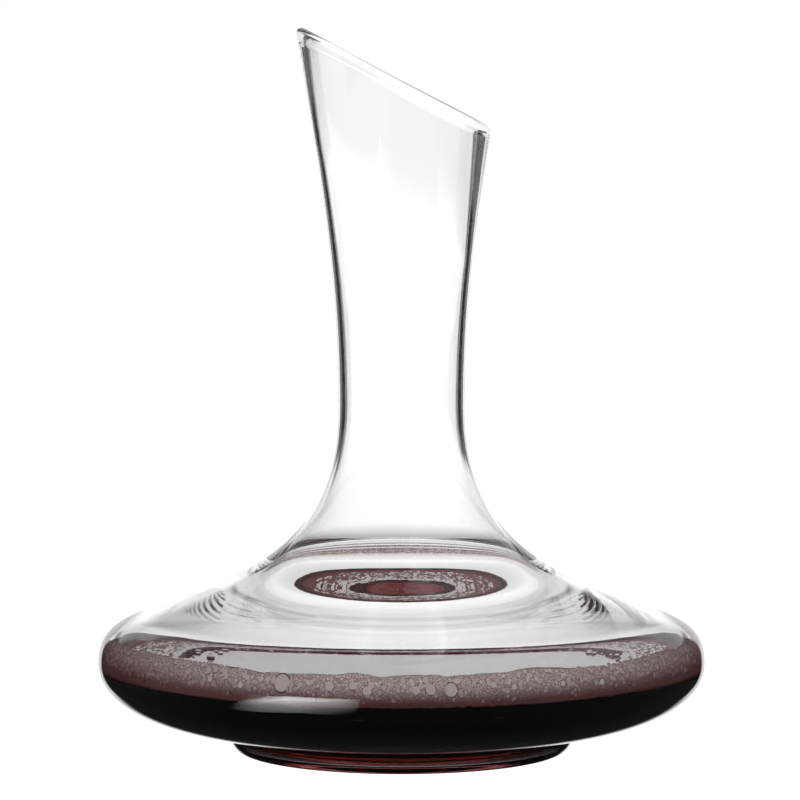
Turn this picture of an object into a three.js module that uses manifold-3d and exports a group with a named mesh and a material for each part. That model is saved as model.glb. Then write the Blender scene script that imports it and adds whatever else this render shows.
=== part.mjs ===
// Wine decanter: a wide, low glass bowl on a short hollow foot, a trumpet neck cut on a slant,
// filled with red wine to just under the widest level, with a ring of froth on the wine.
// Millimetres, +Z up, origin at the centre of the foot on the resting plane.
import * as THREE from "three";
import { mergeVertices } from "three/addons/utils/BufferGeometryUtils.js";
import Module from "manifold-3d";

const wasm = await Module();
wasm.setup();

// ---- driving dimensions -------------------------------------------------------------------

const SIDES = 64;
const UNDERSIDE_STEPS = 7;
const OUTER_STEPS = 7;
const INNER_STEPS = 6;
const NECK_OUTER_STEPS = 8;
const NECK_INNER_STEPS = 7;
const LIP_TURNS = [0.25, 0.5, 0.75];
const HEEL_STEPS = 3;
const FILLET_STEPS = 2;
// Halvings that place a point on a curve at a height.
const HALVINGS = 40;

// Foot: flat resting ring around a shallow punt, with a broad rounded heel and an upright side.
const FOOT_RADIUS = 65.8;
const HEEL_RADIUS = 5.2;
const PUNT_RADIUS = 43.0;
const PUNT_EDGE_RADIUS = 50.0;
const PUNT_DEPTH = 1.4;
const FOOT_TOP_RADIUS = 66.4;
const FOOT_TOP_HEIGHT = 9.6;
const FOOT_FILLET = 1.2;

// Bowl: outer outline through the foot joint, the widest ring and the middle of the shoulder.
const JOINT_PULL = 23.4;
const BOWL_RADIUS = 116.5;
const BOWL_WIDEST_HEIGHT = 34.6;
const BOWL_LOWER_PULL = 16.3;
const BOWL_UPPER_PULL = 17.7;
const SHOULDER_RADIUS = 73.9;
const SHOULDER_HEIGHT = 62.3;
const SHOULDER_SLOPE = 0.41;
const SHOULDER_OUTER_PULL = 30.0;
const SHOULDER_INNER_PULL = 36.4;

// Neck: waist, then a trumpet that would reach its full radius above the slanted mouth.
const WAIST_RADIUS = 24.6;
const WAIST_HEIGHT = 131.0;
const WAIST_LOWER_PULL = 35.9;
const WAIST_UPPER_PULL = 50.6;
const FLARE_RADIUS = 42.9;
const FLARE_HEIGHT = 291.0;
const FLARE_LEAN = 0.16;
const FLARE_PULL = 79.9;

// Mouth: one straight slanted cut, high on the -X side.
const LIP_HIGH = 278.0;
const LIP_LOW = 238.0;
const LIP_HIGH_X = -40.7;
const LIP_LOW_X = 36.0;
const MOUTH_SLOPE = (LIP_HIGH - LIP_LOW) / (LIP_LOW_X - LIP_HIGH_X);

// Glass thickness, as [height, thickness] stations up the outline. The glass gathers in a thick
// ring round the shoulder, and is thinnest where the neck springs from it.
const BASE_THICKNESS = 3.2;
const INNER_HEEL_RADIUS = 4.0;
const WALL_STATIONS = [
  [0, 2.8],
  [20, 2.9],
  [44, 4.8],
  [52, 3.6],
  [61, 4.8],
  [67, 6.0],
  [79, 2.4],
  [88, 2.0],
  [131, 3.0],
  [235, 2.6],
  [278, 2.2],
];
// The wall thickens inward over the last stretch under the lip.
const LIP_EXTRA = 2.0;
const LIP_EXTRA_REACH = 48.0;
const LIP_EXTRA_CURVE = 1.5;
const MOUTH_RADIUS = 38.0;

// Contents.
const GAP = 0.3;
const WINE_LEVEL = 33.0;
// Froth: a thin bed on the wine, with a skin that climbs the glass, highest at the front.
const FROTH_CLIMB_FRONT = 10.3;
const FROTH_CLIMB_BACK = 2.4;
const FROTH_CLIMB_SPREAD = 1.6;
const FROTH_SKIN = 2.6;
const FROTH_BED = 0.9;
const FROTH_BED_START = 5.0;
const FROTH_INNER_RADIUS = 86.0;
const FROTH_EDGE_ROUND = 1.2;
const FROTH_WAVES = [
  [5, 1.7, 0.4],
  [9, 1.1, 2.1],
  [14, 0.8, 4.0],
];
const BUBBLE_SIDES = 10;
const BUBBLE_STEPS = 3;
const BUBBLE_RISE = 0.7;
const BUBBLE_FOOT = WINE_LEVEL + 2 * GAP;
// Large bubbles in the froth, as [bearing in radians, distance from the axis, radius].
const BUBBLES = [
  [-1.98, 104.0, 3.4],
  [-1.83, 102.0, 2.6],
  [-1.71, 105.5, 3.0],
  [-1.50, 103.5, 2.4],
  [-1.43, 105.0, 3.2],
  [-1.36, 101.5, 2.4],
  [-2.30, 103.0, 2.6],
  [-1.10, 104.5, 2.8],
  [-0.40, 102.5, 2.4],
  [0.55, 104.0, 2.8],
  [1.20, 103.0, 2.4],
  [1.95, 104.5, 3.0],
  [2.70, 103.5, 2.6],
];

// ---- outline helpers ----------------------------------------------------------------------

const point = (r, z) => new THREE.Vector2(r, z);

const heading = (angle, length) => point(length * Math.cos(angle), length * Math.sin(angle));

function bezier(a, aPull, bPull, b) {
  return new THREE.CubicBezierCurve(a, a.clone().add(aPull), b.clone().add(bPull), b);
}

function arc(centre, radius, from, to, steps) {
  const points = [];
  for (let i = 0; i <= steps; i++) {
    const angle = from + ((to - from) * i) / steps;
    points.push(centre.clone().add(heading(angle, radius)));
  }
  return points;
}

function wallAt(height) {
  const next = WALL_STATIONS.findIndex((station) => station[0] > height);
  if (next < 1) return WALL_STATIONS.at(next)[1];
  const [lowHeight, lowWall] = WALL_STATIONS[next - 1];
  const [highHeight, highWall] = WALL_STATIONS[next];
  return lowWall + ((highWall - lowWall) * (height - lowHeight)) / (highHeight - lowHeight);
}

// A point moved off the outline into the glass, square to the curve.
function inset(curve, t, depth) {
  const along = curve.getTangent(t);
  return curve.getPoint(t).add(point(-along.y, along.x).multiplyScalar(depth));
}

function sample(curve, steps, depthAt) {
  const points = [];
  for (let i = 1; i <= steps; i++) {
    const t = i / steps;
    points.push(inset(curve, t, depthAt(curve.getPoint(t).y)));
  }
  return points;
}

// ---- outlines -----------------------------------------------------------------------------

const joint = point(FOOT_TOP_RADIUS + FOOT_FILLET, FOOT_TOP_HEIGHT);
const widest = point(BOWL_RADIUS, BOWL_WIDEST_HEIGHT);
const shoulder = point(SHOULDER_RADIUS, SHOULDER_HEIGHT);
const waist = point(WAIST_RADIUS, WAIST_HEIGHT);
const flare = point(FLARE_RADIUS, FLARE_HEIGHT);

const underside = bezier(joint, point(JOINT_PULL, 0), point(0, -BOWL_LOWER_PULL), widest);
const bulge = bezier(
  widest,
  point(0, BOWL_UPPER_PULL),
  heading(-SHOULDER_SLOPE, SHOULDER_OUTER_PULL),
  shoulder,
);
const slope = bezier(
  shoulder,
  heading(Math.PI - SHOULDER_SLOPE, SHOULDER_INNER_PULL),
  point(0, -WAIST_LOWER_PULL),
  waist,
);
const neck = bezier(
  waist,
  point(0, WAIST_UPPER_PULL),
  heading(-Math.PI / 2 - FLARE_LEAN, FLARE_PULL),
  flare,
);

const mouthHeight = (x) => LIP_HIGH - MOUTH_SLOPE * (x - LIP_HIGH_X);

// Outside of the foot, from the axis up to the joint with the bowl.
function footOutside() {
  const heelCentre = point(FOOT_RADIUS - HEEL_RADIUS, HEEL_RADIUS);
  const filletCentre = point(FOOT_TOP_RADIUS + FOOT_FILLET, FOOT_TOP_HEIGHT - FOOT_FILLET);
  return [
    point(0, PUNT_DEPTH),
    point(PUNT_RADIUS, PUNT_DEPTH),
    point(PUNT_EDGE_RADIUS, 0),
    ...arc(heelCentre, HEEL_RADIUS, -Math.PI / 2, 0, HEEL_STEPS),
    ...arc(filletCentre, FOOT_FILLET, Math.PI, Math.PI / 2, FILLET_STEPS),
  ];
}

// Inside of the foot at a given depth under the outer surface, from the axis to the bowl.
function footInside(wall, floor) {
  const radius = FOOT_RADIUS - wall;
  const heelCentre = point(radius - INNER_HEEL_RADIUS, floor + INNER_HEEL_RADIUS);
  const filletCentre = point(FOOT_TOP_RADIUS + FOOT_FILLET, FOOT_TOP_HEIGHT - FOOT_FILLET);
  return [
    point(0, floor + PUNT_DEPTH),
    point(PUNT_RADIUS, floor + PUNT_DEPTH),
    ...arc(heelCentre, INNER_HEEL_RADIUS, -Math.PI / 2, 0, HEEL_STEPS),
    ...arc(filletCentre, FOOT_FILLET + wall, Math.PI, Math.PI / 2, HEEL_STEPS),
  ];
}

// How far up the neck curve the mouth cut lies, for a surface at some depth and bearing.
function neckEnd(bearing, depthAt, drop) {
  let low = 0;
  let high = 1;
  for (let i = 0; i < HALVINGS; i++) {
    const middle = (low + high) / 2;
    const at = inset(neck, middle, depthAt(neck.getPoint(middle).y));
    if (at.y < mouthHeight(at.x * Math.cos(bearing)) - drop) low = middle;
    else high = middle;
  }
  return low;
}

function neckSide(bearing, steps, depthAt, drop) {
  const end = neckEnd(bearing, depthAt, drop);
  const points = [];
  for (let i = 1; i <= steps; i++) {
    const t = (end * i) / steps;
    points.push(inset(neck, t, depthAt(neck.getPoint(t).y)));
  }
  return points;
}

// The whole glass outline at one bearing: outside going up, rounded lip, inside coming down.
function glassOutline(bearing) {
  const onSurface = () => 0;
  const mouth = mouthHeight(MOUTH_RADIUS * Math.cos(bearing));
  const neckWall = (height) => {
    const near = THREE.MathUtils.clamp(1 - (mouth - height) / LIP_EXTRA_REACH, 0, 1);
    return wallAt(height) + LIP_EXTRA * near ** LIP_EXTRA_CURVE;
  };
  const lipRadius = neckWall(mouth) / 2;
  const outside = neckSide(bearing, NECK_OUTER_STEPS, onSurface, lipRadius);
  const inside = neckSide(bearing, NECK_INNER_STEPS, neckWall, lipRadius);
  const lipCentre = outside.at(-1).clone().add(inside.at(-1)).multiplyScalar(0.5);
  const lipAcross = outside.at(-1).clone().sub(lipCentre);
  const lipUp = point(-lipAcross.y, lipAcross.x);
  const lip = LIP_TURNS.map((turn) => {
    const angle = turn * Math.PI;
    const across = lipAcross.clone().multiplyScalar(Math.cos(angle));
    return lipCentre.clone().add(across).add(lipUp.clone().multiplyScalar(Math.sin(angle)));
  });
  const bowlInside = [
    ...footInside(wallAt(0), BASE_THICKNESS),
    ...sample(underside, UNDERSIDE_STEPS, wallAt),
    ...sample(bulge, INNER_STEPS, wallAt),
    ...sample(slope, INNER_STEPS, wallAt),
  ];
  return [
    ...footOutside(),
    ...sample(underside, UNDERSIDE_STEPS, onSurface),
    ...sample(bulge, OUTER_STEPS, onSurface),
    ...sample(slope, OUTER_STEPS, onSurface),
    ...outside,
    ...lip,
    ...inside.reverse(),
    ...bowlInside.reverse(),
  ];
}

// The wine's outline: the inside of the glass less the gap, level at the top.
function wineOutline() {
  const side = wineSide();
  return [...side, point(0, WINE_LEVEL)];
}

// The wine against the glass, from the axis up to the free surface.
function wineSide() {
  const depthAt = (height) => wallAt(height) + GAP;
  const side = [
    ...footInside(wallAt(0) + GAP, BASE_THICKNESS + GAP),
    ...sample(underside, UNDERSIDE_STEPS, depthAt),
  ];
  const above = side.findIndex((p) => p.y > WINE_LEVEL);
  const low = side[above - 1];
  const high = side[above];
  const edge = low.clone().lerp(high, (WINE_LEVEL - low.y) / (high.y - low.y));
  return [...side.slice(0, above), edge];
}

// A point on the upper bowl at a height, some depth inside the inner surface of the glass.
function onBowlInside(height, depth) {
  let low = 0;
  let high = 1;
  for (let i = 0; i < HALVINGS; i++) {
    const middle = (low + high) / 2;
    const outer = bulge.getPoint(middle);
    if (inset(bulge, middle, wallAt(outer.y) + depth).y < height) low = middle;
    else high = middle;
  }
  return inset(bulge, low, wallAt(bulge.getPoint(low).y) + depth);
}

function frothClimb(bearing) {
  const front = (1 - Math.sin(bearing)) / 2;
  const share = Math.min(1, FROTH_CLIMB_SPREAD * front);
  return FROTH_CLIMB_BACK + (FROTH_CLIMB_FRONT - FROTH_CLIMB_BACK) * share;
}

// The froth's outline at one bearing: up the glass, down its skin and along the wavy-edged bed.
function frothOutline(bearing) {
  const wave = FROTH_WAVES.reduce(
    (sum, [count, size, phase]) => sum + size * Math.sin(count * bearing + phase),
    0,
  );
  const inner = FROTH_INNER_RADIUS + wave;
  const outer = wineSide().at(-1).x - GAP;
  const bottom = WINE_LEVEL + GAP;
  const top = WINE_LEVEL + frothClimb(bearing);
  const middle = (bottom + top) / 2;
  const clearance = 2 * GAP;
  return [
    point(inner + FROTH_EDGE_ROUND, bottom),
    point(outer, bottom),
    onBowlInside(middle, clearance),
    onBowlInside(top, clearance),
    onBowlInside(top, clearance + FROTH_SKIN / 2),
    onBowlInside(middle, clearance + FROTH_SKIN),
    point(outer - FROTH_BED_START, bottom + FROTH_BED),
    point(inner + FROTH_EDGE_ROUND, bottom + FROTH_BED),
    point(inner, bottom + FROTH_BED / 2),
  ];
}

// ---- solids -------------------------------------------------------------------------------

// Sweeps an outline round the axis. Outlines start and end on the axis, or close on themselves.
function revolve(outlineAt, closed) {
  const rows = [];
  for (let side = 0; side < SIDES; side++) {
    rows.push(outlineAt((side / SIDES) * 2 * Math.PI));
  }
  const count = rows[0].length;
  const positions = [];
  rows.forEach((row, side) => {
    const bearing = (side / SIDES) * 2 * Math.PI;
    row.forEach((p) => positions.push(p.x * Math.cos(bearing), p.x * Math.sin(bearing), p.y));
  });
  const onAxis = (i) => !closed && (i === 0 || i === count - 1);
  const vertex = (side, i) => (onAxis(i) ? i : (side % SIDES) * count + i);
  const faces = [];
  const steps = closed ? count : count - 1;
  for (let side = 0; side < SIDES; side++) {
    for (let i = 0; i < steps; i++) {
      const j = (i + 1) % count;
      if (!onAxis(i)) faces.push(vertex(side, i), vertex(side + 1, i), vertex(side + 1, j));
      if (!onAxis(j)) faces.push(vertex(side, i), vertex(side + 1, j), vertex(side, j));
    }
  }
  const geometry = new THREE.BufferGeometry();
  geometry.setAttribute("position", new THREE.Float32BufferAttribute(positions, 3));
  geometry.setIndex(faces);
  return solidFrom(geometry);
}

function solidFrom(geometry) {
  const used = new Map();
  const vertices = [];
  const source = geometry.getAttribute("position");
  const corners = Array.from(geometry.index.array, (corner) => {
    if (!used.has(corner)) {
      used.set(corner, used.size);
      vertices.push(source.getX(corner), source.getY(corner), source.getZ(corner));
    }
    return used.get(corner);
  });
  const mesh = new wasm.Mesh({
    numProp: 3,
    vertProperties: new Float32Array(vertices),
    triVerts: new Uint32Array(corners),
  });
  return new wasm.Manifold(mesh);
}

// One large bubble: a low dome whose flat foot lies inside the froth ring.
function bubble([bearing, radius, size]) {
  const rise = size * BUBBLE_RISE;
  const profile = [point(0, 0)];
  for (let i = 0; i <= BUBBLE_STEPS; i++) {
    const angle = (i / BUBBLE_STEPS) * (Math.PI / 2);
    profile.push(point(size * Math.cos(angle), rise * Math.sin(angle)));
  }
  profile.at(-1).x = 0;
  const dome = new THREE.LatheGeometry(profile, BUBBLE_SIDES);
  dome.rotateX(Math.PI / 2);
  dome.translate(radius * Math.cos(bearing), radius * Math.sin(bearing), BUBBLE_FOOT);
  dome.deleteAttribute("normal");
  dome.deleteAttribute("uv");
  return solidFrom(mergeVertices(dome));
}

function geometryFrom(solid) {
  const mesh = solid.getMesh();
  const geometry = new THREE.BufferGeometry();
  geometry.setAttribute("position", new THREE.BufferAttribute(mesh.vertProperties, 3));
  geometry.setIndex(new THREE.BufferAttribute(mesh.triVerts, 1));
  geometry.computeVertexNormals();
  return geometry;
}

// ---- materials ----------------------------------------------------------------------------

const clearGlass = new THREE.MeshStandardMaterial({
  name: "clear_glass",
  color: 0xf4f6f6,
  roughness: 0.03,
  transparent: true,
  opacity: 0.35,
});
const redWine = new THREE.MeshStandardMaterial({
  name: "red_wine",
  color: 0x2a0408,
  roughness: 0.05,
});
const wineFroth = new THREE.MeshStandardMaterial({
  name: "wine_froth",
  color: 0x9a7674,
  roughness: 0.5,
});

// ---- sub-parts ----------------------------------------------------------------------------

function subPart(name, solid, material) {
  const mesh = new THREE.Mesh(geometryFrom(solid), material);
  mesh.name = name;
  return mesh;
}

const glassVessel = () => subPart("glass_vessel", revolve(glassOutline, false), clearGlass);

const wine = () => subPart("wine", revolve(wineOutline, false), redWine);

const froth = () => {
  const ring = revolve(frothOutline, true);
  const whole = BUBBLES.reduce((solid, spec) => solid.add(bubble(spec)), ring);
  return subPart("froth", whole, wineFroth);
};

const group = new THREE.Group();
group.name = "wine_decanter";
group.add(glassVessel(), wine(), froth());

export default group;
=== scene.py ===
"""Looks of the wine decanter: smooth glass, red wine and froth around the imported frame."""

import math
import random

import bpy
import numpy as np
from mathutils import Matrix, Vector, noise


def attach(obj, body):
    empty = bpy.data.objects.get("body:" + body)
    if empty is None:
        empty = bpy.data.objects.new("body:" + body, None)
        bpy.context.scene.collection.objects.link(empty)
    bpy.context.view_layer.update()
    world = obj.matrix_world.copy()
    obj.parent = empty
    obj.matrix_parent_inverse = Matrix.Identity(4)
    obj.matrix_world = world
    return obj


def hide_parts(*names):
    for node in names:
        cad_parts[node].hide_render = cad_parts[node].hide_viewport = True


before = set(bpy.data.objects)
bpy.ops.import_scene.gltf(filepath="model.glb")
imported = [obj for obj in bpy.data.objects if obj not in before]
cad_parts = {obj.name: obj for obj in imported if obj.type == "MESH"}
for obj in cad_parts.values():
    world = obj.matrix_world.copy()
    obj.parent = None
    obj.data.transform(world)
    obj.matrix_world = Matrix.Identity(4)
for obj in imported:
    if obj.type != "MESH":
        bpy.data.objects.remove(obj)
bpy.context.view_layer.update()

MM = 0.001

# ---- the glass, in millimetres -------------------------------------------------------------

FOOT_RADIUS = 65.8
HEEL_RADIUS = 5.2
HEEL_TURN = 0.15
INNER_HEEL_RADIUS = 4.0
INNER_HEEL_TURN = 0.1
PUNT_RADIUS = 43.0
PUNT_EDGE_RADIUS = 50.0
PUNT_DEPTH = 1.4
PUNT_PULL = 3.5
FOOT_TOP_RADIUS = 66.4
FOOT_TOP_HEIGHT = 9.6
FOOT_FILLET = 1.2
BASE_THICKNESS = 3.2

# A pull is the distance from the end of a curve to its control point.
JOINT_PULL = 23.4
BOWL_RADIUS = 116.5
BOWL_WIDEST_HEIGHT = 34.6
BOWL_LOWER_PULL = 16.3
BOWL_UPPER_PULL = 17.7
SHOULDER = (73.9, 62.3)
SHOULDER_SLOPE = 0.41
SHOULDER_OUTER_PULL = 30.0
SHOULDER_INNER_PULL = 36.4
WAIST = (24.6, 131.0)
WAIST_LOWER_PULL = 35.9
WAIST_UPPER_PULL = 50.6
FLARE = (42.9, 291.0)
FLARE_LEAN = 0.16
FLARE_PULL = 79.9

LIP_HIGH = (-40.7, 278.0)
LIP_LOW = (36.0, 238.0)
MOUTH_SLOPE = (LIP_HIGH[1] - LIP_LOW[1]) / (LIP_LOW[0] - LIP_HIGH[0])
MOUTH_RADIUS = 38.0

# (height, thickness) up the outline, smoothed along it.
WALL_STATIONS = (
    (0, 2.8),
    (20, 2.9),
    (34, 4.2),
    (44, 5.0),
    (49, 3.9),
    (52, 3.6),
    (58, 4.1),
    (64, 5.2),
    (68, 5.4),
    (73, 4.2),
    (79, 2.4),
    (87, 1.9),
    (100, 2.2),
    (131, 3.0),
    (235, 2.6),
    (278, 2.2),
)
WALL_SMOOTHING = 4.0
# The wall thickens inward over the last stretch under the lip.
LIP_EXTRA = 2.0
LIP_EXTRA_REACH = 48.0
LIP_EXTRA_CURVE = 1.5
# The crown of the lip stays this much under the cut.
LIP_CLEARANCE = 0.15

# ---- wine and froth, in millimetres --------------------------------------------------------

WINE_LEVEL = 33.0
WINE_OVERLAP = 0.25
WINE_EDGE = 0.3
WINE_RINGS = (100, 80, 60, 40, 20, 0)

FROTH_CLEARANCE = 0.5
FROTH_OVER_WINE = 0.1
FROTH_CLIMB_FRONT = 10.3
FROTH_CLIMB_BACK = 2.4
# The climb is full round the front and falls away behind, by this share and curve.
CLIMB_SHARE = 1.6
CLIMB_CURVE = 1.5
CLIMB_WAVE = 0.144
FROTH_DIP = 1.1
FROTH_DIP_RAGGED = 0.5
FROTH_DIP_START = 0.5
FROTH_BED = 1.1
FROTH_SKIN = 3.0
FROTH_SKIN_TOP = 0.4
FROTH_SKIN_FOOT = 0.4
FROTH_SKIN_CURVE = 0.6
FROTH_BED_INSET = 0.8
FROTH_RIM_SHARE = 0.06
FROTH_RIM_HEIGHT = 0.6
FROTH_RIM_SLOPE = 0.3
FROTH_INNER_RADIUS = 86.0
FROTH_EDGE_WAVE = 3.0

# Scales of noise round the froth: three for a wave, from coarse to fine, and one for raggedness.
CLIMB_SCALES = (3.7, 9.1, 23)
EDGE_SCALES = (2.9, 8.3, 21)
EDGE_LAYER = 4.2
WAVE_SHARES = (1.0, 0.5, 0.3)
RAGGED_SCALE = 60
# (scale per millimetre, height) of the lumps on the froth.
LUMPS = ((0.9, 0.22), (2.3, 0.12))
LUMPS_START = 0.5

# (bearing in degrees from the front towards +X, height, radius) of the large bubbles on the glass.
LARGE_BUBBLES = (
    (-22.5, 39.6, 3.3),
    (-13.3, 39.4, 1.9),
    (-9.0, 39.6, 1.6),
    (-5.6, 39.9, 1.5),
    (-6.3, 38.0, 1.9),
    (2.6, 38.4, 1.7),
    (5.3, 38.6, 2.1),
    (9.0, 38.3, 2.6),
    (17.0, 39.5, 1.3),
    (21.0, 38.5, 1.2),
    (-31.0, 38.2, 1.3),
    (-38.0, 39.0, 1.1),
    (31.0, 38.6, 1.1),
    (40.0, 37.8, 1.2),
)
MIDDLE_BUBBLES = 700
WALL_BUBBLES = 5000
BED_BUBBLES = 7000
STRAY_BUBBLES = 90
# (least, spread, curve) of the random radii: most are near the least.
MIDDLE_RADII = (0.55, 0.8, 2)
WALL_RADII = (0.17, 0.75, 6)
BED_RADII = (0.35, 0.9, 2.5)
STRAY_RADII = (0.5, 1.2, 2)
MIDDLE_DEPTHS = (0, 0.6, 1.2)
WALL_RISE = 0.3
WALL_RISE_CURVE = 0.8
BED_OUTER_RADIUS = 105
BED_CURVE = 1.8
STRAY_DISTANCES = (2, 9, 2)
BUBBLE_SEED = 7

LARGE_BUBBLE_HEIGHT = 0.38
MIDDLE_BUBBLE_HEIGHT = 0.304
WALL_BUBBLE_HEIGHT = 0.3
FLAT_BUBBLE_RISE = 0.6
BUBBLE_GAP = 0.05
BUBBLE_IN_BED = 0.1
# (share of the radius, share of the height) of each ring of a bubble's dome.
DOME_RINGS = ((0.6, 0.8), (0.88, 0.4), (1.0, 0.0))

# ---- looks ---------------------------------------------------------------------------------

GLASS_IOR = 1.52
WINE_IOR = 1.345
WINE_COLOR = (0.61, 0.07, 0.09)
WINE_DENSITY = 140.0

FROTH_LOW = (0.14, 0.02, 0.022)
FROTH_HIGH = (0.77, 0.58, 0.57)
FROTH_LOW_BORDER = (0.07, 0.01, 0.011)
FROTH_HIGH_BORDER = (0.3465, 0.261, 0.2565)
FROTH_ON_WINE = (0.24, 0.06, 0.055)
FROTH_CELL = 0.85
FROTH_CELL_BORDER = (0.02, 0.3)
FROTH_ROUGHNESS = 0.45
SIDE_DARKNESS = 0.85
ON_WINE_MARK = 0.95
# The froth turns from dark to pale between these heights, which rise towards the sides.
TONE_START = WINE_LEVEL + 0.2
TONE_END = WINE_LEVEL + 7.0
TONE_LIFT = 4.0

# The bubbles' colours are painted light: the pale centre is a painted highlight and the dark border
# is painted shade, standing in for the shine and dark outline of clear bubbles. Low on the froth
# the centre stays dark red.
BUBBLE_PAINTED_HIGHLIGHT = (0.9, 0.84, 0.82)
BUBBLE_DARK_CENTRE = (0.2, 0.08, 0.08)
BUBBLE_PAINTED_RIM_SHADE = (0.14, 0.05, 0.05)
BUBBLE_RIM_SHADE_SHARES = (0.78, 0.95)
BUBBLE_ROUGHNESS = 0.12
# How strong the painted highlight at the centre of each kind of bubble is.
LARGE_HIGHLIGHT = 0.6
MIDDLE_HIGHLIGHT = 0.6
WALL_HIGHLIGHT = 0.75
BED_HIGHLIGHT = 1.0

# ---- steps of the meshes -------------------------------------------------------------------

SIDES = 256
FROTH_SIDES = 1080
CURVE_STEPS = 48
NECK_STEPS = 70
NECK_POINTS = 80
LIP_STEPS = 9
PUNT_STEPS = 8
HEEL_STEPS = 10
INNER_HEEL_STEPS = 8
FILLET_STEPS = 6
INNER_FILLET_STEPS = 8
SMOOTHING_STEPS = 1500
FROTH_WALL_POINTS = 16
FROTH_SKIN_POINTS = 10
FROTH_BED_POINTS = 20
# The foot of the skin already counts as froth on the wine.
FROTH_BED_START = FROTH_WALL_POINTS + FROTH_SKIN_POINTS - 2
LARGE_SEGMENTS = 24
MIDDLE_SEGMENTS = 14
WALL_SEGMENTS = 6
BED_SEGMENTS = 8
STRAY_SEGMENTS = 10

# ---- stage, in metres and degrees ----------------------------------------------------------

FLOOR_RADIUS = 1.3
FLOOR_SIDES = 128
FLOOR_HEIGHT = -0.0005
FLOOR_STRENGTH = 1.2

CARD_SIDES = 96
SHADE_HEIGHT = -0.0003
SHADE_INNER_RADIUS = 0.001
SHADE_RADIUS = 0.12
SHADE_END = 0.6
SHADE_STRENGTH = 0.3
SHADE_BEYOND_STRENGTH = 0.55
GLOW_RADIUS = 0.078
GLOW_HEIGHTS = (0.0003, 0.0065)
GLOW_STRENGTH = 0.8

# Rows of (x, y, brightness) on the table, from the bowl outwards.
TABLE_LIGHT_ROWS = (
    (
        (-0.100, -0.105, 0.0),
        (-0.080, -0.118, 0.1),
        (-0.060, -0.135, 0.1),
        (-0.035, -0.140, 0.0),
        (-0.030, -0.150, 0.0),
    ),
    (
        (-0.120, -0.120, 0.0),
        (-0.100, -0.137, 0.2),
        (-0.081, -0.162, 0.3),
        (-0.059, -0.196, 0.2),
        (-0.040, -0.200, 0.1),
    ),
    (
        (-0.170, -0.160, 0.0),
        (-0.160, -0.190, 0.6),
        (-0.200, -0.265, 1.0),
        (-0.164, -0.360, 0.7),
        (-0.073, -0.320, 0.1),
    ),
    (
        (-0.400, -0.300, 0.0),
        (-0.400, -0.400, 0.2),
        (-0.480, -0.600, 0.5),
        (-0.360, -0.700, 0.2),
        (-0.150, -0.650, 0.0),
    ),
)
TABLE_LIGHT_STRENGTH = 14.0

BACK_STRENGTH = 1.2
CEILING_STRENGTH = 0.3
FROTH_LIGHT = 1.15
LEAST_LIGHT = 0.02
# (centre, half width, softness) of the bands of light round the room, from +Y towards +X.
BACK_BAND = (0, 22, 1.5)
SIDE_BAND = (-90, 22, 1.5)
FILL_BAND = (95, 72, 10)
ASIDE_BAND = (0, 34, 4)
BEHIND_BAND = (0, 11, 3)
# (elevation without light, elevation with all of it) at the edges of the lights.
WALL_TOP = (18, 10)
WALL_FOOT = (-24, -16)
BACK_FALL = (2, -2)
FILL_FOOT = (4, 8)
ASIDE_TOP = (30, 25)
ASIDE_FOOT = (3, 6)
CEILING_EDGE = (8, 14)
TABLE_EDGE = (-7, -9)
SKY_EDGE = (5, 40)

CAMERA_PLACE = (-0.0006, -1.5799, 0.2439)
CAMERA_AIM = (-0.0006, 0, 0.1348)
# In millimetres.
CAMERA_LENS = 186.1
CAMERA_CLIP = (0.01, 50)
GLASS_BOUNCES = 100
OTHER_BOUNCES = 16


# ---- outlines ------------------------------------------------------------------------------


def heading(angle, length):
    """A step of a length at an angle."""
    return np.array([math.cos(angle) * length, math.sin(angle) * length])


def bezier(start, start_pull, end_pull, end, steps):
    """Points on a cubic curve, without its first."""
    a, d = np.array(start, float), np.array(end, float)
    b, c = a + start_pull, d + end_pull
    t = np.linspace(0, 1, steps + 1)[1:, None]
    return (1 - t) ** 3 * a + 3 * (1 - t) ** 2 * t * b + 3 * (1 - t) * t**2 * c + t**3 * d


def arc(centre, radius, start, end, steps):
    angles = np.linspace(start, end, steps + 1)
    return np.array([np.array(centre) + heading(angle, radius) for angle in angles])


def outer_side():
    """The outside of the glass from the foot joint up past the mouth."""
    joint = np.array([FOOT_TOP_RADIUS + FOOT_FILLET, FOOT_TOP_HEIGHT])
    widest = (BOWL_RADIUS, BOWL_WIDEST_HEIGHT)
    outwards = heading(-SHOULDER_SLOPE, SHOULDER_OUTER_PULL)
    inwards = heading(math.pi - SHOULDER_SLOPE, SHOULDER_INNER_PULL)
    flare = heading(-math.pi / 2 - FLARE_LEAN, FLARE_PULL)
    underside = bezier(joint, (JOINT_PULL, 0), (0, -BOWL_LOWER_PULL), widest, CURVE_STEPS)
    bulge = bezier(widest, (0, BOWL_UPPER_PULL), outwards, SHOULDER, CURVE_STEPS)
    slope = bezier(SHOULDER, inwards, (0, -WAIST_LOWER_PULL), WAIST, CURVE_STEPS)
    neck = bezier(WAIST, (0, WAIST_UPPER_PULL), flare, FLARE, NECK_STEPS)
    return np.vstack([joint[None], underside, bulge, slope, neck])


def normals(points):
    """Unit vectors square to the outline, pointing away from the axis side."""
    along = np.gradient(points, axis=0)
    along /= np.linalg.norm(along, axis=1)[:, None]
    return np.stack([along[:, 1], -along[:, 0]], axis=1)


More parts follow.
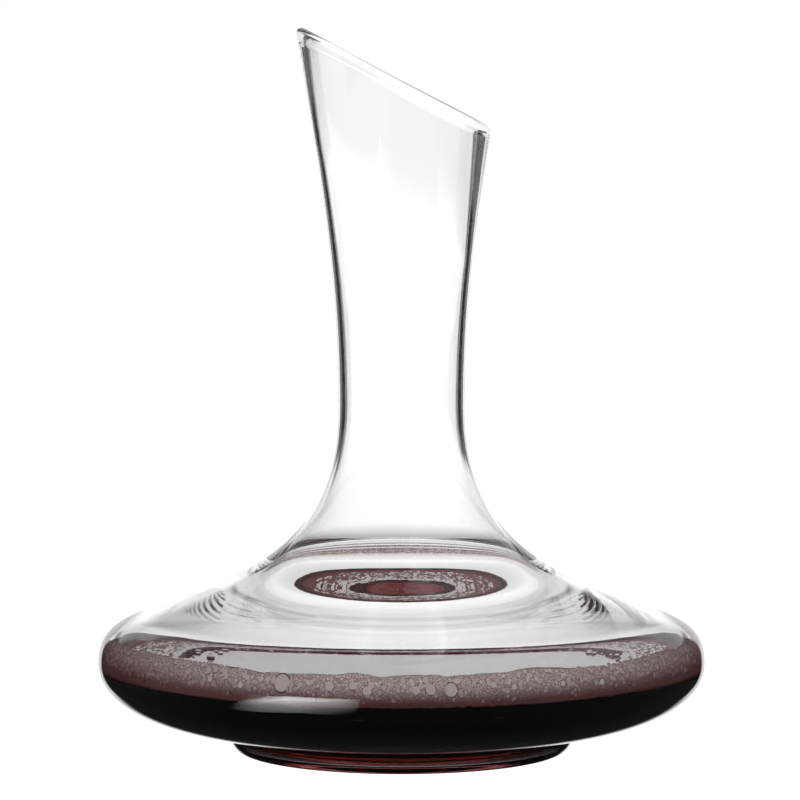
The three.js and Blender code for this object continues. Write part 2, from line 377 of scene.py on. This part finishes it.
def wall_thickness(points):
    """Smoothed thickness at each point of the outline."""
    steps = np.linalg.norm(np.diff(points, axis=0), axis=1)
    length = np.concatenate([[0], np.cumsum(steps)])
    heights, walls = zip(*WALL_STATIONS)
    raw = np.interp(points[:, 1], heights, walls)
    even = np.linspace(0, length[-1], SMOOTHING_STEPS)
    spacing = even[1] - even[0]
    reach = int(3 * WALL_SMOOTHING / spacing)
    kernel = np.exp(-0.5 * (np.arange(-reach, reach + 1) * spacing / WALL_SMOOTHING) ** 2)
    padded = np.pad(np.interp(even, length, raw), reach, mode="edge")
    smooth = np.convolve(padded, kernel / kernel.sum(), mode="valid")
    return np.interp(length, even, smooth)


def punt(height):
    """From the axis over the raised middle of the foot down to its edge, at a height."""
    top = height + PUNT_DEPTH
    flat = [(0, top), (PUNT_RADIUS / 2, top), (PUNT_RADIUS, top)]
    foot = (PUNT_EDGE_RADIUS, height)
    slope = bezier(flat[-1], (PUNT_PULL, 0), (-PUNT_PULL, 0), foot, PUNT_STEPS)
    return np.vstack([flat, slope])


def foot_joint(radius, steps):
    """The rounded inner corner between foot and bowl, without its end on the bowl."""
    centre = (FOOT_TOP_RADIUS + FOOT_FILLET, FOOT_TOP_HEIGHT - FOOT_FILLET)
    return arc(centre, radius, math.pi, math.pi / 2, steps)[:-1]


def foot_outside():
    centre = (FOOT_RADIUS - HEEL_RADIUS, HEEL_RADIUS)
    heel = arc(centre, HEEL_RADIUS, -math.pi / 2, HEEL_TURN, HEEL_STEPS)
    return np.vstack([punt(0), heel, foot_joint(FOOT_FILLET, FILLET_STEPS)])


def foot_inside(wall, floor):
    centre = (FOOT_RADIUS - wall - INNER_HEEL_RADIUS, floor + INNER_HEEL_RADIUS)
    heel = arc(centre, INNER_HEEL_RADIUS, -math.pi / 2, INNER_HEEL_TURN, INNER_HEEL_STEPS)
    return np.vstack([punt(floor), heel, foot_joint(FOOT_FILLET + wall, INNER_FILLET_STEPS)])


SIDE = outer_side()
SIDE_NORMALS = normals(SIDE)
SIDE_WALL = wall_thickness(SIDE)
INNER_SIDE = SIDE - SIDE_NORMALS * SIDE_WALL[:, None]
# The outline is resampled up to the mouth from a third of a curve under the waist.
NECK_START = len(SIDE) - NECK_STEPS - CURVE_STEPS // 3


def mouth_height(x):
    return LIP_HIGH[1] - MOUTH_SLOPE * (x - LIP_HIGH[0])


def cut_at_mouth(points, bearing, drop):
    """The neck part of a side, ended at the slanted mouth and evenly resampled."""
    low, neck = points[:NECK_START], points[NECK_START:]
    over = neck[:, 1] - mouth_height(neck[:, 0] * math.cos(bearing)) + drop
    last = int(np.argmax(over > 0))
    end = last - 1 + over[last - 1] / (over[last - 1] - over[last])
    at = np.linspace(0, end, NECK_POINTS)
    index = np.arange(len(neck))
    resampled = [np.interp(at, index, values) for values in neck.T]
    return np.vstack([low, np.stack(resampled, axis=1)])


def inner_side(bearing):
    """The inside of the glass, whose wall thickens towards the lip."""
    mouth = mouth_height(MOUTH_RADIUS * math.cos(bearing))
    near = np.clip(1 - (mouth - SIDE[:, 1]) / LIP_EXTRA_REACH, 0, 1)
    extra = LIP_EXTRA * near**LIP_EXTRA_CURVE
    return SIDE - SIDE_NORMALS * (SIDE_WALL + extra)[:, None]


def lip_drop(bearing):
    """How far under the mouth the lip's rounding starts: half the wall's thickness and a little."""
    heights, walls = zip(*WALL_STATIONS)
    wall = np.interp(mouth_height(MOUTH_RADIUS * math.cos(bearing)), heights, walls)
    return (wall + LIP_EXTRA) / 2 + LIP_CLEARANCE


def glass_outline(bearing):
    """Outside going up, rounded lip, inside coming down."""
    outside = cut_at_mouth(SIDE, bearing, lip_drop(bearing))
    inside = cut_at_mouth(inner_side(bearing), bearing, lip_drop(bearing))
    centre = (outside[-1] + inside[-1]) / 2
    across = outside[-1] - centre
    up = np.array([-across[1], across[0]])
    turns = np.linspace(0, math.pi, LIP_STEPS + 2)[1:-1]
    lip = np.array([centre + across * math.cos(turn) + up * math.sin(turn) for turn in turns])
    floor = foot_inside(SIDE_WALL[0], BASE_THICKNESS)
    return np.vstack([foot_outside(), outside, lip, inside[::-1], floor[::-1]])


def wine_side():
    """The wine against the glass, reaching a little into it, from the axis to the surface."""
    side = SIDE - SIDE_NORMALS * (SIDE_WALL - WINE_OVERLAP)[:, None]
    foot = foot_inside(SIDE_WALL[0] - WINE_OVERLAP, BASE_THICKNESS - WINE_OVERLAP)
    full = np.vstack([foot, side])
    above = int(np.argmax(full[:, 1] > WINE_LEVEL))
    blend = (WINE_LEVEL - full[above - 1, 1]) / (full[above, 1] - full[above - 1, 1])
    edge = full[above - 1] + blend * (full[above] - full[above - 1])
    return np.vstack([full[:above], edge])


WINE_SIDE = wine_side()


def wine_outline(bearing):
    """The same all round: up the glass, then over the level surface to the axis."""
    radii = (WINE_SIDE[-1, 0] - WINE_EDGE, *WINE_RINGS)
    return np.vstack([WINE_SIDE, [(radius, WINE_LEVEL) for radius in radii]])


def inner_wall(height):
    """Radius and outward unit vector of the inside of the bowl at a height above the widest."""
    widest = CURVE_STEPS
    at = widest + int(np.argmax(INNER_SIDE[widest:, 1] > height))
    below, above = INNER_SIDE[at - 1], INNER_SIDE[at]
    blend = (height - below[1]) / (above[1] - below[1])
    return below[0] + blend * (above[0] - below[0]), SIDE_NORMALS[at]


def wave(bearing, layer, scales):
    """Three scales of noise round the axis."""
    place = Vector((math.cos(bearing), math.sin(bearing), layer))
    return sum(share * noise.noise(place * scale) for share, scale in zip(WAVE_SHARES, scales))


def climb(bearing):
    """How far the froth climbs the glass over the wine."""
    front = 0.5 - 0.5 * math.sin(bearing)
    share = min(1, CLIMB_SHARE * front) ** CLIMB_CURVE
    reach = FROTH_CLIMB_BACK + (FROTH_CLIMB_FRONT - FROTH_CLIMB_BACK) * share
    return reach * (1 + CLIMB_WAVE * wave(bearing, 0, CLIMB_SCALES))


def froth_edge(bearing):
    """Radius of the inner edge of the froth's bed."""
    return FROTH_INNER_RADIUS + FROTH_EDGE_WAVE * wave(bearing, EDGE_LAYER, EDGE_SCALES)


def froth_point(height, depth):
    """A point at a depth from the glass, square to it."""
    radius, outward = inner_wall(height)
    return np.array([radius, height]) - outward * depth


def froth_wall(bearing):
    """Up the glass, from a ragged dip below the wine's level in front to the top of the climb."""
    ragged = noise.noise(Vector((math.cos(bearing), math.sin(bearing), 0)) * RAGGED_SCALE)
    frontal = max(0, -math.sin(bearing)) ** 2
    dip = FROTH_DIP_START - FROTH_DIP * (frontal + FROTH_DIP_RAGGED * ragged)
    heights = np.linspace(WINE_LEVEL + dip, WINE_LEVEL + climb(bearing), FROTH_WALL_POINTS)
    return [froth_point(height, FROTH_CLEARANCE) for height in heights]


def froth_skin(bearing):
    """Down the free face of the climb, thicker towards its foot."""
    foot = WINE_LEVEL + FROTH_BED + FROTH_SKIN_FOOT
    heights = np.linspace(WINE_LEVEL + climb(bearing), foot, FROTH_SKIN_POINTS)
    shares = np.linspace(0, 1, FROTH_SKIN_POINTS) ** FROTH_SKIN_CURVE
    depths = FROTH_CLEARANCE + FROTH_SKIN_TOP + FROTH_SKIN * shares
    return [froth_point(height, depth) for height, depth in zip(heights, depths)]


def froth_outline(bearing):
    """Closed: up the glass, down the skin and along the bed to its edge and back."""
    skin = froth_skin(bearing)
    edge = froth_edge(bearing)
    reach = skin[-1][0] - FROTH_BED_INSET - edge
    bed_top = WINE_LEVEL + FROTH_BED
    shares = np.linspace(1, FROTH_RIM_SHARE, FROTH_BED_POINTS)
    bed = [(edge + reach * share, bed_top) for share in shares]
    rim_top = (edge, WINE_LEVEL + FROTH_BED * FROTH_RIM_HEIGHT)
    rim_foot = (edge - FROTH_RIM_SLOPE, WINE_LEVEL + FROTH_OVER_WINE)
    return np.array(froth_wall(bearing) + skin + bed + [rim_top, rim_foot])


# ---- meshes --------------------------------------------------------------------------------


def new_object(name, vertices, faces, **attributes):
    """A smooth mesh; each attribute is one number per vertex for its material."""
    mesh = bpy.data.meshes.new(name)
    mesh.from_pydata([tuple(v) for v in vertices], [], faces)
    mesh.update()
    mesh.polygons.foreach_set("use_smooth", [True] * len(mesh.polygons))
    for key, values in attributes.items():
        mesh.attributes.new(key, "FLOAT", "POINT").data.foreach_set("value", values)
    piece = bpy.data.objects.new(name, mesh)
    bpy.context.scene.collection.objects.link(piece)
    return piece


def turned(point, bearing):
    """A point (radius, height) of an outline at a bearing, in metres."""
    radius, height = point
    return radius * math.cos(bearing) * MM, radius * math.sin(bearing) * MM, height * MM


def revolve(name, outline_at, first_marked, mark_at):
    """Sweeps an outline that starts and ends on the axis, with its points marked from one on."""
    bearings = [2 * math.pi * side / SIDES for side in range(SIDES)]
    rows = [outline_at(bearing) for bearing in bearings]
    inner = len(rows[0]) - 2
    vertices = [turned(rows[0][0], 0)]
    marks = [0.0]
    for row, bearing in zip(rows, bearings):
        vertices += [turned(point, bearing) for point in row[1:-1]]
        marks += [mark_at(bearing) * (i + 1 >= first_marked) for i in range(inner)]
    vertices.append(turned(rows[0][-1], 0))
    marks.append(mark_at(0))
    last = len(vertices) - 1
    faces = []
    for side in range(SIDES):
        here = 1 + side * inner
        there = 1 + (side + 1) % SIDES * inner
        faces.append((0, there, here))
        for i in range(inner - 1):
            faces.append((here + i, there + i, there + i + 1, here + i + 1))
        faces.append((last, here + inner - 1, there + inner - 1))
    return new_object(name, vertices, faces, mark=marks)


def sweep_ring(name, outline_at, sides, roughen, mark_at):
    """Sweeps a closed outline off the axis, with each point marked by its bearing and index."""
    vertices = []
    marks = []
    for side in range(sides):
        bearing = 2 * math.pi * side / sides
        for index, (r, z) in enumerate(outline_at(bearing)):
            point = Vector((r * math.cos(bearing), r * math.sin(bearing), z))
            vertices.append(roughen(point) * MM)
            marks.append(mark_at(bearing, index))
    count = len(vertices) // sides
    faces = []
    for side in range(sides):
        here = side * count
        there = (side + 1) % sides * count
        for i in range(count):
            after = (i + 1) % count
            faces.append((here + i, there + i, there + after, here + after))
    return new_object(name, vertices, faces, mark=marks)


class Domes:
    """Gathers shallow domes into one mesh, marked 0 at the crown to 1 at the border, where the
    bubble material paints shade; each dome's tone sets how strong its painted highlight is.
    """

    def __init__(self):
        self.vertices = []
        self.faces = []
        self.marks = []
        self.tones = []

    def add(self, centre, up, radius, height, segments, tone):
        start = len(self.vertices)
        self.add_points(centre, up, radius, height, segments)
        self.add_faces(start, segments)
        self.tones += [tone] * (len(self.vertices) - start)

    def add_points(self, centre, up, radius, height, segments):
        side = up.orthogonal().normalized()
        other = up.cross(side)
        self.vertices.append((centre + up * height) * MM)
        self.marks.append(0.0)
        for reach, rise in DOME_RINGS:
            for segment in range(segments):
                turn = 2 * math.pi * segment / segments
                out = (side * math.cos(turn) + other * math.sin(turn)) * (reach * radius)
                self.vertices.append((centre + out + up * (rise * height)) * MM)
                self.marks.append(reach)

    def add_faces(self, start, segments):
        for segment in range(segments):
            after = (segment + 1) % segments
            self.faces.append((start, start + 1 + segment, start + 1 + after))
            for ring in range(len(DOME_RINGS) - 1):
                inner = start + 1 + ring * segments
                outer = inner + segments
                self.faces.append((inner + segment, outer + segment, outer + after, inner + after))
        border = start + 1 + (len(DOME_RINGS) - 1) * segments
        self.faces.append([border + segment for segment in reversed(range(segments))])

    def build(self, name):
        return new_object(name, self.vertices, self.faces, mark=self.marks, tone=self.tones)


# ---- materials -----------------------------------------------------------------------------


def new_material(name):
    material = bpy.data.materials.new(name)
    material.use_nodes = True
    tree = material.node_tree
    return material, tree, tree.nodes["Principled BSDF"]


def maths(tree, operation, first, second):
    """One step of arithmetic on two values, each a number or a socket."""
    node = tree.nodes.new("ShaderNodeMath")
    node.operation = operation
    for socket, value in zip(node.inputs, (first, second)):
        if isinstance(value, (int, float)):
            socket.default_value = value
        else:
            tree.links.new(value, socket)
    return node.outputs[0]


def mark(tree, key="mark"):
    """The number that the mesh carries at the shaded point."""
    node = tree.nodes.new("ShaderNodeAttribute")
    node.attribute_name = key
    return node.outputs["Fac"]


def height_of(tree):
    """Height of the shaded point, in millimetres."""
    coordinates = tree.nodes.new("ShaderNodeTexCoord")
    parts = tree.nodes.new("ShaderNodeSeparateXYZ")
    tree.links.new(coordinates.outputs["Object"], parts.inputs["Vector"])
    return maths(tree, "DIVIDE", parts.outputs["Z"], MM)


def blend_values(tree, share, low, high):
    """low where the share is 0 and high where it is 1."""
    return maths(tree, "ADD", low, maths(tree, "MULTIPLY", share, high - low))


def clear_surface(surface, ior):
    surface.inputs["Base Color"].default_value = (1, 1, 1, 1)
    surface.inputs["Roughness"].default_value = 0.0
    surface.inputs["Transmission Weight"].default_value = 1.0
    surface.inputs["IOR"].default_value = ior


def glass_material():
    """Clear glass; where wine and froth wet the inside, its edge is glass against wine."""
    material, tree, surface = new_material("clear_glass")
    clear_surface(surface, GLASS_IOR)
    wetted = maths(tree, "LESS_THAN", height_of(tree), mark(tree))
    ior = blend_values(tree, wetted, GLASS_IOR, GLASS_IOR / WINE_IOR)
    tree.links.new(ior, surface.inputs["IOR"])
    return material


def wine_material():
    """Wine that absorbs light; its side inside the glass doesn't bend light a second time."""
    material, tree, surface = new_material("red_wine")
    clear_surface(surface, WINE_IOR)
    ior = blend_values(tree, mark(tree), 1.0, WINE_IOR)
    tree.links.new(ior, surface.inputs["IOR"])
    absorption = tree.nodes.new("ShaderNodeVolumeAbsorption")
    absorption.inputs["Color"].default_value = (*WINE_COLOR, 1)
    absorption.inputs["Density"].default_value = WINE_DENSITY
    tree.links.new(absorption.outputs["Volume"], tree.nodes["Material Output"].inputs["Volume"])
    return material


def mixed(tree, share, first, second):
    """A colour between two, each a tuple or a socket."""
    node = tree.nodes.new("ShaderNodeMix")
    node.data_type = "RGBA"
    tree.links.new(share, node.inputs["Factor"])
    colors = [socket for socket in node.inputs if socket.type == "RGBA"]
    for socket, value in zip(colors, (first, second)):
        if isinstance(value, tuple):
            socket.default_value = (*value, 1)
        else:
            tree.links.new(value, socket)
    return next(socket for socket in node.outputs if socket.type == "RGBA")


def ramp(tree, value, low, high):
    """0 at low, 1 at high, smooth between."""
    node = tree.nodes.new("ShaderNodeMapRange")
    node.interpolation_type = "SMOOTHSTEP"
    node.inputs["From Min"].default_value = low
    node.inputs["From Max"].default_value = high
    tree.links.new(value, node.inputs["Value"])
    return node.outputs["Result"]


def cells(tree, size):
    """Distance to the nearest border of a foam's cells, as a share of the size of a cell."""
    coordinates = tree.nodes.new("ShaderNodeTexCoord")
    node = tree.nodes.new("ShaderNodeTexVoronoi")
    node.feature = "DISTANCE_TO_EDGE"
    node.inputs["Scale"].default_value = 1 / (size * MM)
    tree.links.new(coordinates.outputs["Object"], node.inputs["Vector"])
    return node.outputs["Distance"]


def side_share(bearing):
    """0 at the front and 1 from the sides on, where the froth is thinner and darker."""
    return 1 - max(0, -math.sin(bearing))


def froth_tone(tree):
    """0 where the froth is dark, low down where wine wets it and towards the sides and back, to 1
    high in front.
    """
    lift = maths(tree, "MULTIPLY", mark(tree), TONE_LIFT)
    height = maths(tree, "SUBTRACT", height_of(tree), lift)
    high = ramp(tree, height, TONE_START, TONE_END)
    return maths(tree, "MULTIPLY", high, maths(tree, "SUBTRACT", 1.0, mark(tree)))


def tone_at(bearing, height):
    """The same as froth_tone, for a bubble on the froth."""
    share = SIDE_DARKNESS * side_share(bearing)
    rise = (height - TONE_LIFT * share - TONE_START) / (TONE_END - TONE_START)
    return max(0, min(1, rise)) * (1 - share)


def froth_material():
    """Small cells with dark borders, pale high up in front, and dark red over the wine."""
    material, tree, surface = new_material("froth")
    tone = froth_tone(tree)
    pale = mixed(tree, tone, FROTH_LOW, FROTH_HIGH)
    dark = mixed(tree, tone, FROTH_LOW_BORDER, FROTH_HIGH_BORDER)
    filled = ramp(tree, cells(tree, FROTH_CELL), *FROTH_CELL_BORDER)
    on_wine = maths(tree, "GREATER_THAN", mark(tree), ON_WINE_MARK)
    color = mixed(tree, on_wine, mixed(tree, filled, dark, pale), FROTH_ON_WINE)
    tree.links.new(color, surface.inputs["Base Color"])
    surface.inputs["Roughness"].default_value = FROTH_ROUGHNESS
    return material


def bubble_material():
    """Painted highlight and shade: a centre as pale as the bubble's tone is a painted highlight,
    inside a dark border of painted shade.
    """
    material, tree, surface = new_material("froth_bubble_painted_highlight")
    border = ramp(tree, mark(tree), *BUBBLE_RIM_SHADE_SHARES)
    centre = mixed(tree, mark(tree, "tone"), BUBBLE_DARK_CENTRE, BUBBLE_PAINTED_HIGHLIGHT)
    tree.links.new(mixed(tree, border, centre, BUBBLE_PAINTED_RIM_SHADE), surface.inputs["Base Color"])
    surface.inputs["Roughness"].default_value = BUBBLE_ROUGHNESS
    return material


# ---- pieces --------------------------------------------------------------------------------


def finish_piece(piece, material, slot, *nodes):
    piece.data.materials.append(material)
    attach(piece, "root")
    if nodes:
        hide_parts(*nodes)


def wet_height(bearing):
    """How high wine and froth wet the glass."""
    return WINE_LEVEL + climb(bearing)


def make_vessel():
    inside_start = len(foot_outside()) + NECK_START + NECK_POINTS + LIP_STEPS
    piece = revolve("vessel_glass", glass_outline, inside_start, wet_height)
    finish_piece(piece, glass_material(), "clear_glass", "glass_vessel")


def make_wine():
    piece = revolve("wine_fill", wine_outline, len(WINE_SIDE), lambda bearing: 1.0)
    finish_piece(piece, wine_material(), "red_wine", "wine")


def lumpy(point):
    """The froth above the wine, pushed up and down a little."""
    if point.z <= WINE_LEVEL + LUMPS_START:
        return point
    push = sum(size * noise.noise(point * scale) for scale, size in LUMPS)
    return point + Vector((0, 0, push))


def froth_mark(bearing, index):
    """1 on the bed over the wine; up the glass, how dark the froth is for its bearing."""
    return 1.0 if index >= FROTH_BED_START else SIDE_DARKNESS * side_share(bearing)


def make_froth():
    piece = sweep_ring("froth_bed", froth_outline, FROTH_SIDES, lumpy, froth_mark)
    finish_piece(piece, froth_material(), "wine_froth", "froth")


def on_wall(bearing, height):
    """A point on the froth's face against the glass, and the way out of it."""
    radius, outward = inner_wall(height)
    around = Vector((math.cos(bearing), math.sin(bearing), 0))
    out = around * outward[0] + Vector((0, 0, outward[1]))
    depth = FROTH_CLEARANCE + BUBBLE_GAP
    return around * radius + Vector((0, 0, height)) - out * depth, out


def rolled(dice, least, spread, curve):
    """A random number from least to least + spread, most often near least."""
    return least + spread * dice.random() ** curve


def add_flat_dome(domes, bearing, distance, height, radius, segments):
    """A dome that lies on the wine or on the froth's bed."""
    centre = Vector((distance * math.cos(bearing), distance * math.sin(bearing), height))
    up = Vector((0, 0, 1))
    domes.add(centre, up, radius, radius * FLAT_BUBBLE_RISE, segments, BED_HIGHLIGHT)


def add_large_bubbles(domes):
    for degrees, height, radius in LARGE_BUBBLES:
        centre, out = on_wall(math.radians(degrees - 90), height)
        domes.add(centre, out, radius, LARGE_BUBBLE_HEIGHT, LARGE_SEGMENTS, LARGE_HIGHLIGHT)


def add_middle_bubble(domes, dice, bearing):
    radius = rolled(dice, *MIDDLE_RADII)
    share = 1 - rolled(dice, *MIDDLE_DEPTHS)
    height = WINE_LEVEL + (climb(bearing) - radius) * share
    centre, out = on_wall(bearing, height)
    tone = MIDDLE_HIGHLIGHT * tone_at(bearing, height)
    domes.add(centre, out, radius, MIDDLE_BUBBLE_HEIGHT, MIDDLE_SEGMENTS, tone)


def add_wall_bubble(domes, dice, bearing):
    radius = rolled(dice, *WALL_RADII)
    lowest = WINE_LEVEL + radius + WALL_RISE
    height = rolled(dice, lowest, max(climb(bearing) - 2 * radius, 0), WALL_RISE_CURVE)
    centre, out = on_wall(bearing, height)
    tone = WALL_HIGHLIGHT * tone_at(bearing, height)
    domes.add(centre, out, radius, min(WALL_BUBBLE_HEIGHT, radius), WALL_SEGMENTS, tone)


def add_bed_bubble(domes, dice, bearing):
    radius = rolled(dice, *BED_RADII)
    edge = froth_edge(bearing)
    distance = rolled(dice, edge, BED_OUTER_RADIUS - edge, BED_CURVE)
    height = WINE_LEVEL + FROTH_BED - BUBBLE_IN_BED
    add_flat_dome(domes, bearing, distance, height, radius, BED_SEGMENTS)


def add_stray_bubble(domes, dice, bearing):
    radius = rolled(dice, *STRAY_RADII)
    distance = froth_edge(bearing) - rolled(dice, *STRAY_DISTANCES)
    height = WINE_LEVEL + BUBBLE_GAP
    add_flat_dome(domes, bearing, distance, height, radius, STRAY_SEGMENTS)


def make_bubbles():
    domes = Domes()
    dice = random.Random(BUBBLE_SEED)
    add_large_bubbles(domes)
    kinds = (
        (MIDDLE_BUBBLES, add_middle_bubble),
        (WALL_BUBBLES, add_wall_bubble),
        (BED_BUBBLES, add_bed_bubble),
        (STRAY_BUBBLES, add_stray_bubble),
    )
    for count, add_bubble in kinds:
        for _ in range(count):
            add_bubble(domes, dice, dice.uniform(0, 2 * math.pi))
    piece = domes.build("froth_bubbles")
    finish_piece(piece, bubble_material(), "wine_froth")


# ---- stage ---------------------------------------------------------------------------------


def emission_material(name, strength):
    """Plain white light."""
    material = bpy.data.materials.new(name)
    material.use_nodes = True
    tree = material.node_tree
    tree.nodes.clear()
    emission = tree.nodes.new("ShaderNodeEmission")
    emission.inputs["Color"].default_value = (1, 1, 1, 1)
    emission.inputs["Strength"].default_value = strength
    output = tree.nodes.new("ShaderNodeOutputMaterial")
    tree.links.new(emission.outputs["Emission"], output.inputs["Surface"])
    return material


def marked_light(name, low, high):
    """Light of one strength where the mark is 0 and another where it is 1."""
    material = emission_material(name, low)
    tree = material.node_tree
    strength = blend_values(tree, mark(tree), low, high)
    tree.links.new(strength, tree.nodes["Emission"].inputs["Strength"])
    return material


def make_floor():
    place = (0, 0, FLOOR_HEIGHT)
    bpy.ops.mesh.primitive_circle_add(
        vertices=FLOOR_SIDES, radius=FLOOR_RADIUS, fill_type="NGON", location=place
    )
    floor = bpy.context.object
    floor.name = "floor"
    floor.data.materials.append(emission_material("pale_floor", FLOOR_STRENGTH))
    floor.visible_glossy = False


def make_card(name, start, end, low, high):
    """A band round the axis from one (radius, height) to another, and one strength to another."""
    vertices = []
    for side in range(CARD_SIDES):
        turn = 2 * math.pi * side / CARD_SIDES
        for radius, height in (start, end):
            vertices.append((radius * math.cos(turn), radius * math.sin(turn), height))
    faces = []
    for side in range(CARD_SIDES):
        here = 2 * side
        there = 2 * ((side + 1) % CARD_SIDES)
        faces.append((here, here + 1, there + 1, there))
    card = new_object(name, vertices, faces, mark=[0.0, 1.0] * CARD_SIDES)
    card.data.materials.append(marked_light(name, low, high))
    card.visible_camera = False
    card.visible_glossy = False
    card.visible_diffuse = False


def make_floor_cards():
    """Shade under the bowl that softens outwards, and a low bright band round the foot."""
    centre = (SHADE_INNER_RADIUS, SHADE_HEIGHT)
    border = (SHADE_RADIUS, SHADE_HEIGHT)
    end = (SHADE_END, SHADE_HEIGHT)
    make_card("shade_under_bowl", centre, border, SHADE_STRENGTH, SHADE_STRENGTH)
    make_card("shade_beyond", border, end, SHADE_BEYOND_STRENGTH, FLOOR_STRENGTH)
    low, high = [(GLOW_RADIUS, height) for height in GLOW_HEIGHTS]
    make_card("glow_round_foot", low, high, GLOW_STRENGTH, GLOW_STRENGTH)


def make_table_light():
    """A soft patch of light on the table at the front left, seen only as a shine on the glass."""
    columns = len(TABLE_LIGHT_ROWS[0])
    spots = [spot for row in TABLE_LIGHT_ROWS for spot in row]
    faces = []
    for row in range(len(TABLE_LIGHT_ROWS) - 1):
        for column in range(columns - 1):
            here = row * columns + column
            faces.append((here, here + 1, here + columns + 1, here + columns))
    marks = [brightness for _, _, brightness in spots]
    patch = new_object("table_light", [(x, y, 0) for x, y, _ in spots], faces, mark=marks)
    patch.data.materials.append(marked_light("table_light", 0.0, TABLE_LIGHT_STRENGTH))
    patch.visible_camera = False
    patch.visible_transmission = False
    patch.visible_diffuse = False


def product(tree, *values):
    result = values[0]
    for value in values[1:]:
        result = maths(tree, "MULTIPLY", result, value)
    return result


def largest(tree, *values):
    result = values[0]
    for value in values[1:]:
        result = maths(tree, "MAXIMUM", result, value)
    return result


def coordinate(tree, vector, axis):
    parts = tree.nodes.new("ShaderNodeSeparateXYZ")
    tree.links.new(vector, parts.inputs["Vector"])
    return parts.outputs[axis]


def band(tree, direction, centre, half, soft):
    """1 in the directions within half a width of a centre round the axis, 0 in the others."""
    rotate = tree.nodes.new("ShaderNodeVectorRotate")
    rotate.rotation_type = "Z_AXIS"
    rotate.inputs["Angle"].default_value = math.radians(centre)
    tree.links.new(direction, rotate.inputs["Vector"])
    turned_to = rotate.outputs["Vector"]
    across = coordinate(tree, turned_to, "X")
    ahead = coordinate(tree, turned_to, "Y")
    angle = maths(tree, "ABSOLUTE", maths(tree, "ARCTAN2", across, ahead), 0.0)
    return ramp(tree, angle, math.radians(half + soft), math.radians(half - soft))


def fade(tree, direction, dark, lit):
    """0 at the dark elevation, 1 at the lit one, smooth between."""
    rise = coordinate(tree, direction, "Z")
    return ramp(tree, rise, math.sin(math.radians(dark)), math.sin(math.radians(lit)))


def wall_light(tree, direction, through):
    """The white back wall, and the side wall that only rays through the glass see."""
    side = product(tree, band(tree, direction, *SIDE_BAND), through)
    walls = largest(tree, band(tree, direction, *BACK_BAND), side)
    strength = blend_values(tree, fade(tree, direction, *BACK_FALL), 1.0, BACK_STRENGTH)
    top = fade(tree, direction, *WALL_TOP)
    foot = fade(tree, direction, *WALL_FOOT)
    return product(tree, walls, strength, top, foot)


def fill_light(tree, direction):
    """Over the right half of the room, above the horizon."""
    return product(tree, band(tree, direction, *FILL_BAND), fade(tree, direction, *FILL_FOOT))


def aside_light(tree, direction):
    """High beside the back wall, and not behind the neck."""
    behind = band(tree, direction, *BEHIND_BAND)
    aside = maths(tree, "SUBTRACT", band(tree, direction, *ASIDE_BAND), behind)
    top = fade(tree, direction, *ASIDE_TOP)
    foot = fade(tree, direction, *ASIDE_FOOT)
    return product(tree, aside, top, foot)


def ceiling_light(tree, direction):
    """Dim all round overhead, and not behind the neck."""
    behind = band(tree, direction, *BEHIND_BAND)
    open_share = maths(tree, "SUBTRACT", 1.0, behind)
    return product(tree, open_share, fade(tree, direction, *CEILING_EDGE), CEILING_STRENGTH)


def table_light(tree, direction):
    """The table beyond the floor."""
    return product(tree, fade(tree, direction, *TABLE_EDGE), FLOOR_STRENGTH)


def froth_light(tree, direction, path):
    """The whole sky, for what scatters light: only the froth does."""
    scattered = maths(tree, "MINIMUM", path.outputs["Diffuse Depth"], 1.0)
    return product(tree, fade(tree, direction, *SKY_EDGE), scattered, FROTH_LIGHT)


def make_world():
    """A white room with dark gaps, as the glass shows it; the camera sees plain white."""
    world = bpy.data.worlds.new("studio")
    bpy.context.scene.world = world
    world.use_nodes = True
    tree = world.node_tree
    background = tree.nodes["Background"]
    background.inputs["Color"].default_value = (1, 1, 1, 1)
    direction = tree.nodes.new("ShaderNodeTexCoord").outputs["Generated"]
    path = tree.nodes.new("ShaderNodeLightPath")
    through = path.outputs["Is Transmission Ray"]
    seen_through_glass = largest(
        tree,
        fill_light(tree, direction),
        aside_light(tree, direction),
        ceiling_light(tree, direction),
        table_light(tree, direction),
    )
    light = largest(
        tree,
        wall_light(tree, direction, through),
        product(tree, seen_through_glass, through),
        froth_light(tree, direction, path),
        LEAST_LIGHT,
        path.outputs["Is Camera Ray"],
    )
    tree.links.new(light, background.inputs["Strength"])


def make_camera():
    data = bpy.data.cameras.new("camera")
    data.lens = CAMERA_LENS
    data.clip_start, data.clip_end = CAMERA_CLIP
    camera = bpy.data.objects.new("camera", data)
    bpy.context.scene.collection.objects.link(camera)
    camera.location = CAMERA_PLACE
    view = Vector(CAMERA_AIM) - Vector(CAMERA_PLACE)
    camera.rotation_euler = view.to_track_quat("-Z", "Y").to_euler()
    bpy.context.scene.camera = camera


def set_render_look():
    scene = bpy.context.scene
    scene.view_settings.view_transform = "Standard"
    scene.cycles.max_bounces = GLASS_BOUNCES
    scene.cycles.transmission_bounces = GLASS_BOUNCES
    scene.cycles.glossy_bounces = GLASS_BOUNCES
    scene.cycles.transparent_max_bounces = OTHER_BOUNCES


make_camera()
make_vessel()
make_wine()
make_froth()
make_bubbles()
make_floor()
make_floor_cards()
make_table_light()
make_world()
set_render_look()
